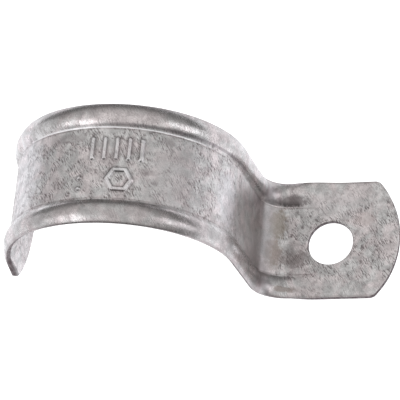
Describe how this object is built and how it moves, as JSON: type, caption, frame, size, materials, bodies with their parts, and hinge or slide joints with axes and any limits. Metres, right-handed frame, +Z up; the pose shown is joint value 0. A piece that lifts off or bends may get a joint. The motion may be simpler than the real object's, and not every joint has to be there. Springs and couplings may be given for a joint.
{
  "type": "conduit strap",
  "caption": "Strap folded from sheet steel: a beaded arch that holds a round conduit against a wall, and a flat foot with a screw hole.",
  "frame": {"origin": "on the axis of the conduit, in the middle of the strap's width", "axes": "+Z up, away from the wall; +X from the conduit towards the screw hole in the foot; Y along the conduit"},
  "size_m": [0.058, 0.0192, 0.0331],
  "materials": {
    "galvanised_steel": "mottled, slightly pinkish grey zinc coating, satin, with fine scratches and darker sheared edges"
  },
  "bodies": {
    "root": {"strap": "galvanised_steel"}
  },
  "joints": []
}
